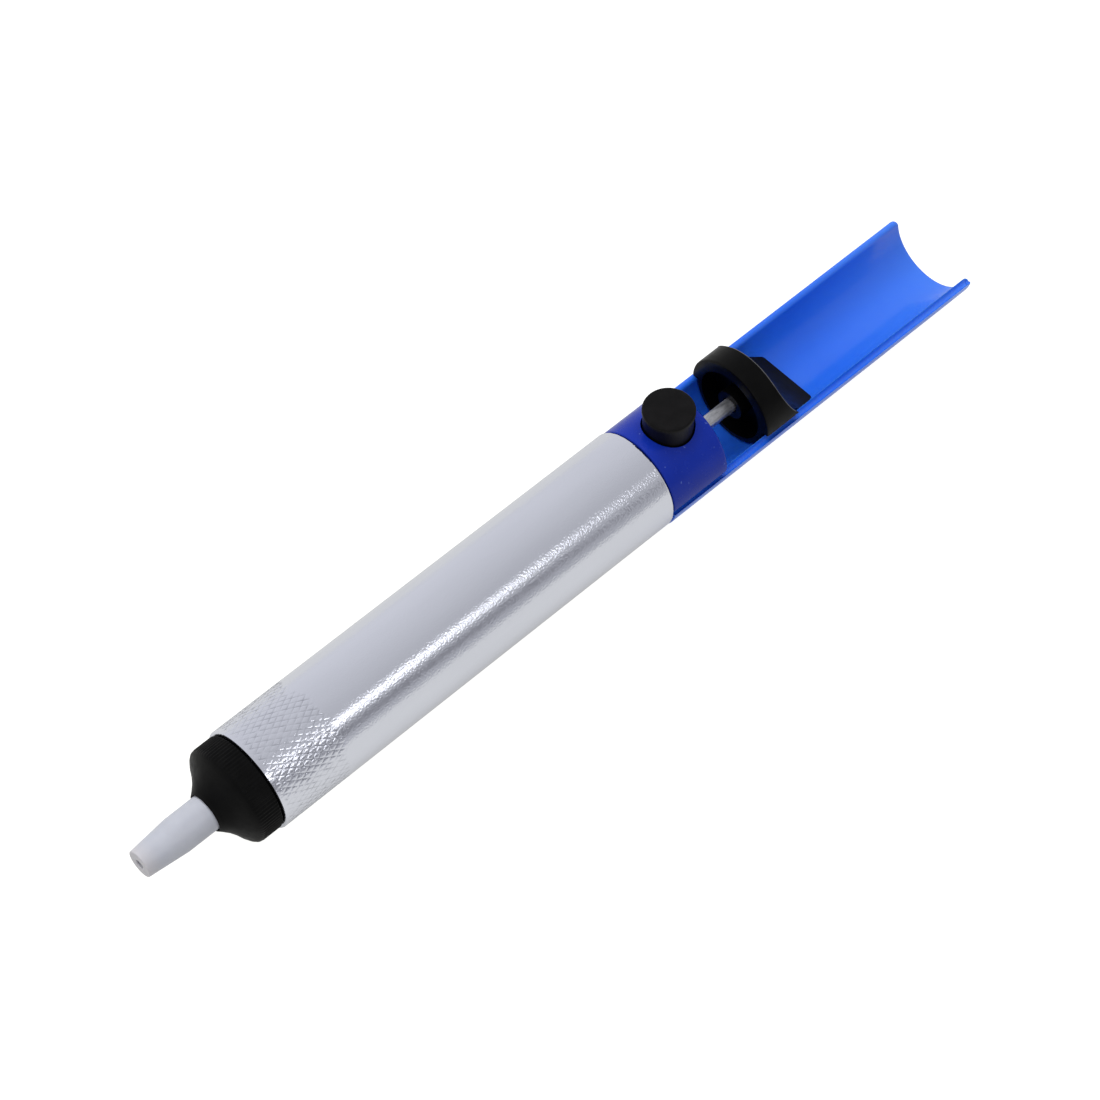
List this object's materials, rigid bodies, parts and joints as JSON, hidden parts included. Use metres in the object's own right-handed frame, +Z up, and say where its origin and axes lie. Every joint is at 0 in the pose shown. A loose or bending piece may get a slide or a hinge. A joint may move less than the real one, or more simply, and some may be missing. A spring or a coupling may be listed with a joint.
{
  "type": "desoldering pump",
  "caption": "Hand-held desoldering pump: metal barrel, soft nozzle in a black nose, release button, spring plunger with thumb knob, half-round blue guard.",
  "frame": {"origin": "under the middle of the pump at bench height, on its plane of symmetry", "axes": "+X from the nozzle to the thumb guard, +Z up through the release button, +Y to the left seen from behind the guard"},
  "size_m": [0.1922, 0.0202, 0.024],
  "materials": {
    "satin_aluminium": "satin, with a diamond knurl at the front",
    "nose_black": "satin moulded plastic",
    "nozzle_white": "waxy translucent PTFE",
    "knob_black": "satin moulded plastic",
    "button_black": "satin moulded plastic",
    "collar_blue": "glossy moulded plastic",
    "guard_blue": "glossy translucent moulded plastic",
    "rod_steel": "zinc-plated steel",
    "spring_steel": "bright spring wire",
    "seal_rubber": "black nitrile rubber",
    "bush_brass": "turned brass",
    "piston_nylon": "ivory nylon"
  },
  "bodies": {
    "frame": {"barrel": "satin_aluminium", "spring_seat": "rod_steel", "main_spring": "spring_steel", "bumper_washer": "seal_rubber", "collar": "collar_blue", "collar_o_ring": "seal_rubber", "rod_bush": "bush_brass", "guard": "guard_blue", "button_spring": "spring_steel"},
    "nose": {"nose_cone": "nose_black", "nose_o_ring": "seal_rubber", "nozzle": "nozzle_white", "nozzle_seal": "seal_rubber", "nozzle_retainer": "piston_nylon"},
    "plunger": {"piston_rod": "rod_steel", "piston": "piston_nylon", "piston_o_ring": "seal_rubber", "piston_washer": "rod_steel", "piston_nut": "rod_steel", "rod_clip": "spring_steel", "cleaning_pin": "rod_steel", "knob": "knob_black", "knob_insert": "bush_brass"},
    "release_button": {"button": "button_black", "latch_plate": "rod_steel"}
  },
  "joints": [
    {"name": "plunger_slide", "type": "slide", "parent": "frame", "child": "plunger", "axis": [1, 0, 0], "range_m": [0, 0.036], "deforming": ["main_spring"]},
    {"name": "button_press", "type": "slide", "parent": "frame", "child": "release_button", "axis": [0, 0, -1], "range_m": [0, 0.002], "stiffness_N_per_m": 600, "springref_m": -0.003, "deforming": ["button_spring"]},
    {"name": "nose_pull_off", "type": "slide", "parent": "frame", "child": "nose", "axis": [-1, 0, 0], "range_m": [0, 0.02]}
  ]
}
